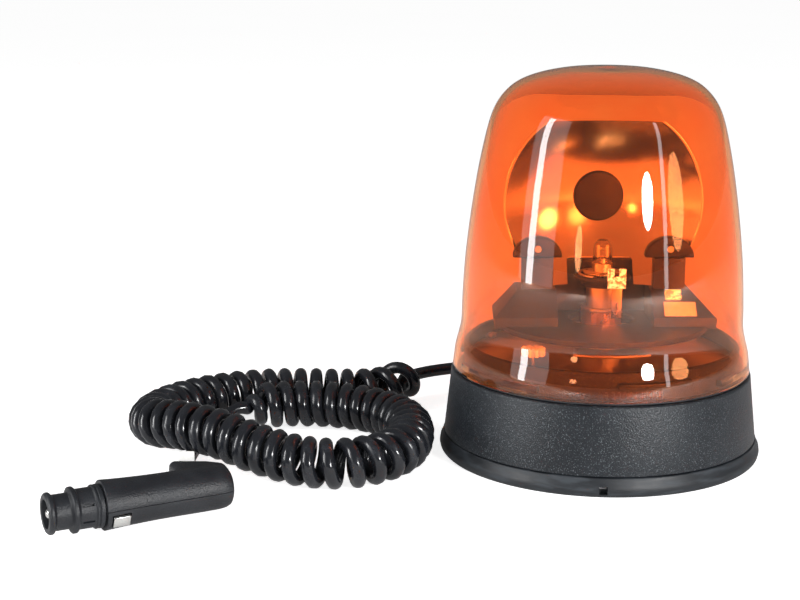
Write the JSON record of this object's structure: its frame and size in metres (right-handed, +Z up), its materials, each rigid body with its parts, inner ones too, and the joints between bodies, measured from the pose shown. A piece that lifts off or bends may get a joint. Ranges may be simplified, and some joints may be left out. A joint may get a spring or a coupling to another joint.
{
  "type": "rotating warning beacon",
  "caption": "Amber rotating warning beacon: domed lens over a parabolic reflector that spins round a lamp, on a magnetic foot, with a curly cord and a 12 V plug.",
  "frame": {"origin": "on the beacon's vertical axis, at the underside of the rubber foot ring", "axes": "+Z up along the beacon's axis, -Y the way the reflector faces at rest, -X the side where the cord and plug lie"},
  "size_m": [0.3461, 0.2741, 0.1978],
  "materials": {
    "lens_amber": "clear amber moulded polycarbonate, glossy",
    "housing_black": "fine leather-grain moulded plastic",
    "plug_black": "satin spark-eroded plastic",
    "dark_moulding": "plain black moulding",
    "foot_rubber": "smooth moulded rubber",
    "cord_black": "glossy extruded jacket",
    "zinc_steel": "bright zinc plate",
    "lamp_metal": "plain drawn metal",
    "contact_metal": "bright nickel plate",
    "brass": "turned",
    "ferrite": "dark sintered",
    "white_nylon": "natural moulded nylon",
    "reflector_mirror": "vacuum-metallised mirror",
    "quartz_glass": "clear",
    "insulation_red": "wire insulation",
    "label_white": "blank label stock"
  },
  "bodies": {
    "base": {"base_housing": "housing_black", "bottom_plate": "zinc_steel", "bottom_screw_1": "zinc_steel", "bottom_screw_2": "zinc_steel", "bottom_screw_3": "zinc_steel", "cable_clamp": "dark_moulding", "chassis_plate": "zinc_steel", "chassis_screw_1": "zinc_steel", "chassis_screw_2": "zinc_steel", "chassis_screw_3": "zinc_steel", "cord_coil": "cord_black", "cord_lead": "cord_black", "cord_tag": "label_white", "cord_tail": "cord_black", "foot_ring": "foot_rubber", "lamp_base": "lamp_metal", "lamp_clip": "zinc_steel", "lamp_filament": "lamp_metal", "lamp_glass": "quartz_glass", "lamp_holder": "dark_moulding", "lamp_lead": "insulation_red", "lamp_post": "zinc_steel", "magnet_bolt": "zinc_steel", "magnet_cup": "zinc_steel", "magnet_nut": "zinc_steel", "motor_bracket": "zinc_steel", "motor_bush": "brass", "motor_can": "zinc_steel", "plug_nose": "plug_black", "plug_pin_spring": "zinc_steel", "plug_screw": "zinc_steel", "plug_shell_lower": "plug_black", "plug_shell_upper": "plug_black", "ring_magnet": "ferrite", "rotor_circlip": "zinc_steel", "strain_relief": "foot_rubber", "supply_lead_black": "cord_black", "supply_lead_red": "insulation_red", "suppressor_choke": "ferrite", "terminal_block": "white_nylon"},
    "rotor": {"rotor_gear": "dark_moulding", "rotor_bush": "brass", "rotor_carrier": "dark_moulding", "carrier_label": "label_white", "carrier_clip": "brass", "balance_weight": "zinc_steel", "reflector_clamp_left": "dark_moulding", "reflector_clamp_right": "dark_moulding", "clamp_screw_left": "zinc_steel", "clamp_screw_right": "zinc_steel", "reflector": "reflector_mirror", "reflector_boss": "dark_moulding"},
    "motor_rotor": {"motor_shaft": "zinc_steel", "drive_pinion": "white_nylon"},
    "lens_ring": {"lens_seal": "foot_rubber"},
    "lens_dome": {"lens": "lens_amber"},
    "centre_pin": {"plug_pin": "contact_metal", "plug_fuse": "quartz_glass"},
    "near_contact": {"plug_contact_near": "contact_metal"},
    "far_contact": {"plug_contact_far": "contact_metal"}
  },
  "joints": [
    {"name": "rotor_spin", "type": "hinge", "parent": "base", "child": "rotor", "pos_m": [0, 0, 0.064], "axis": [0, 0, 1], "continuous": true},
    {"name": "motor_spin", "type": "hinge", "parent": "base", "child": "motor_rotor", "pos_m": [-0.03844, -0.04991, 0.064], "axis": [0, 0, 1], "continuous": true},
    {"name": "lens_twist", "type": "hinge", "parent": "base", "child": "lens_ring", "pos_m": [0, 0, 0.045], "axis": [0, 0, 1], "range_deg": [-28, 0]},
    {"name": "lens_lift", "type": "slide", "parent": "lens_ring", "child": "lens_dome", "axis": [0, 0, 1], "range_m": [0, 0.13]},
    {"name": "centre_pin_press", "type": "slide", "parent": "base", "child": "centre_pin", "axis": [0.891, 0.454, 0], "range_m": [0, 0.0025], "stiffness_N_per_m": 400},
    {"name": "near_contact_press", "type": "slide", "parent": "base", "child": "near_contact", "axis": [-0.4045, 0.7939, 0.454], "range_m": [0, 0.001], "stiffness_N_per_m": 500},
    {"name": "far_contact_press", "type": "slide", "parent": "base", "child": "far_contact", "axis": [0.4045, -0.7939, -0.454], "range_m": [0, 0.001], "stiffness_N_per_m": 500}
  ],
  "couplings": [
    {"joint": "motor_spin", "follows": "rotor_spin", "ratio": -11.6}
  ]
}
